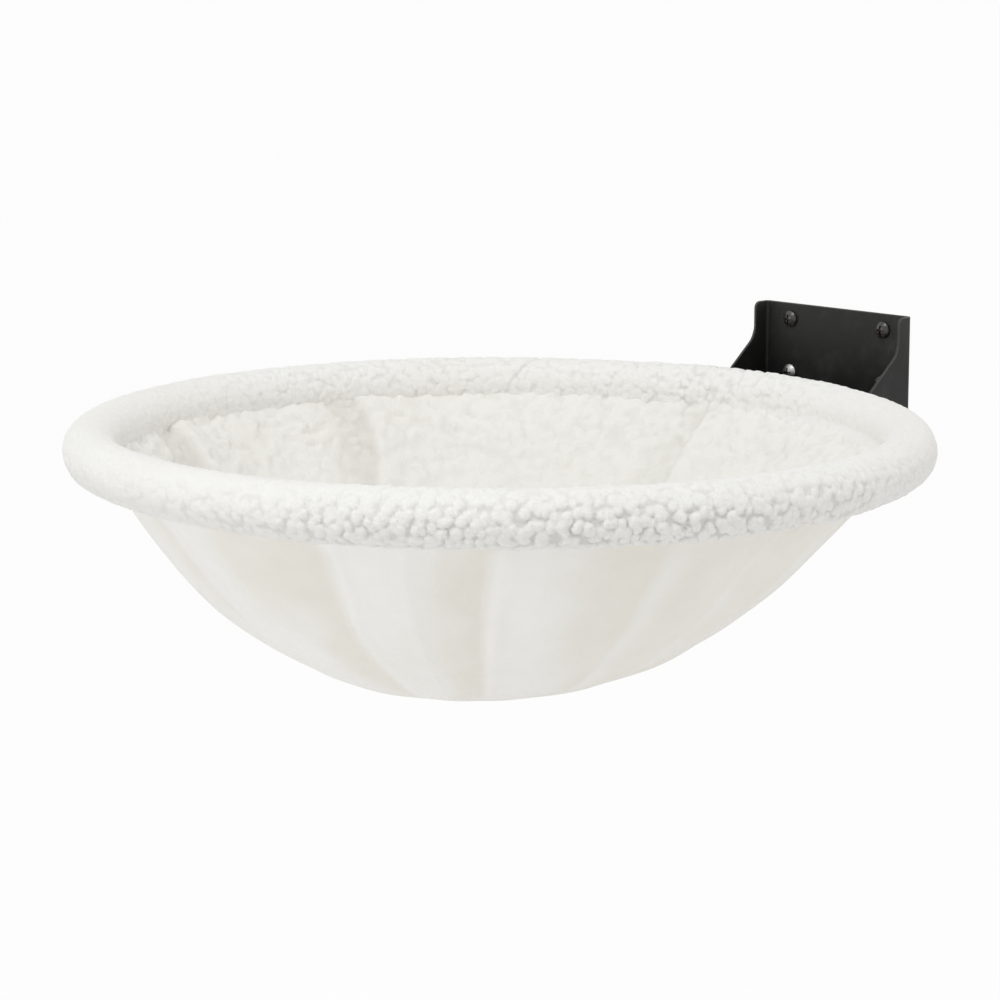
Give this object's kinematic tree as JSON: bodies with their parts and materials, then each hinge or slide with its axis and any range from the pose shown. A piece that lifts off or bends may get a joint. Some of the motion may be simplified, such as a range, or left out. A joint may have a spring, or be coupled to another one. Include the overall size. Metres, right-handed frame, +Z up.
{
  "type": "wall-mounted cat hammock",
  "caption": "Round fleece cat bed hanging as a gathered bowl from a padded steel hoop, bolted to a folded black wall bracket with gusset cheeks.",
  "frame": {"origin": "centre of the four wall screws, on the bracket's wall face", "axes": "+Y into the wall, -Y out over the room, +X right when facing the wall, +Z up"},
  "size_m": [0.464, 0.5344, 0.1785],
  "materials": {
    "bracket_black": "black satin powder coat on folded sheet steel",
    "screw_black": "black oxide",
    "zinc": "bright zinc plate",
    "frame_black": "black satin powder coat",
    "sherpa_rim": "white sherpa fleece with curly tufts",
    "sherpa_liner": "white sherpa fleece, short pile",
    "plush_shell": "smooth off-white plush"
  },
  "bodies": {
    "bracket": {"wall_bracket": "bracket_black", "upper_wall_screws": "screw_black", "lower_right_screw": "screw_black", "lower_left_screw": "zinc", "nut_washers": "zinc", "lock_nuts": "zinc"},
    "bed": {"hoop": "frame_black", "hoop_tongue": "frame_black", "tongue_welds": "frame_black", "tongue_bolts": "zinc", "bolt_washers": "zinc", "rim_sleeve": "sherpa_rim", "bowl_liner": "sherpa_liner", "bowl_shell": "plush_shell"}
  },
  "joints": [
    {"name": "bed_lift", "type": "slide", "parent": "bracket", "child": "bed", "axis": [0, 0, 1], "range_m": [0, 0.08]}
  ]
}
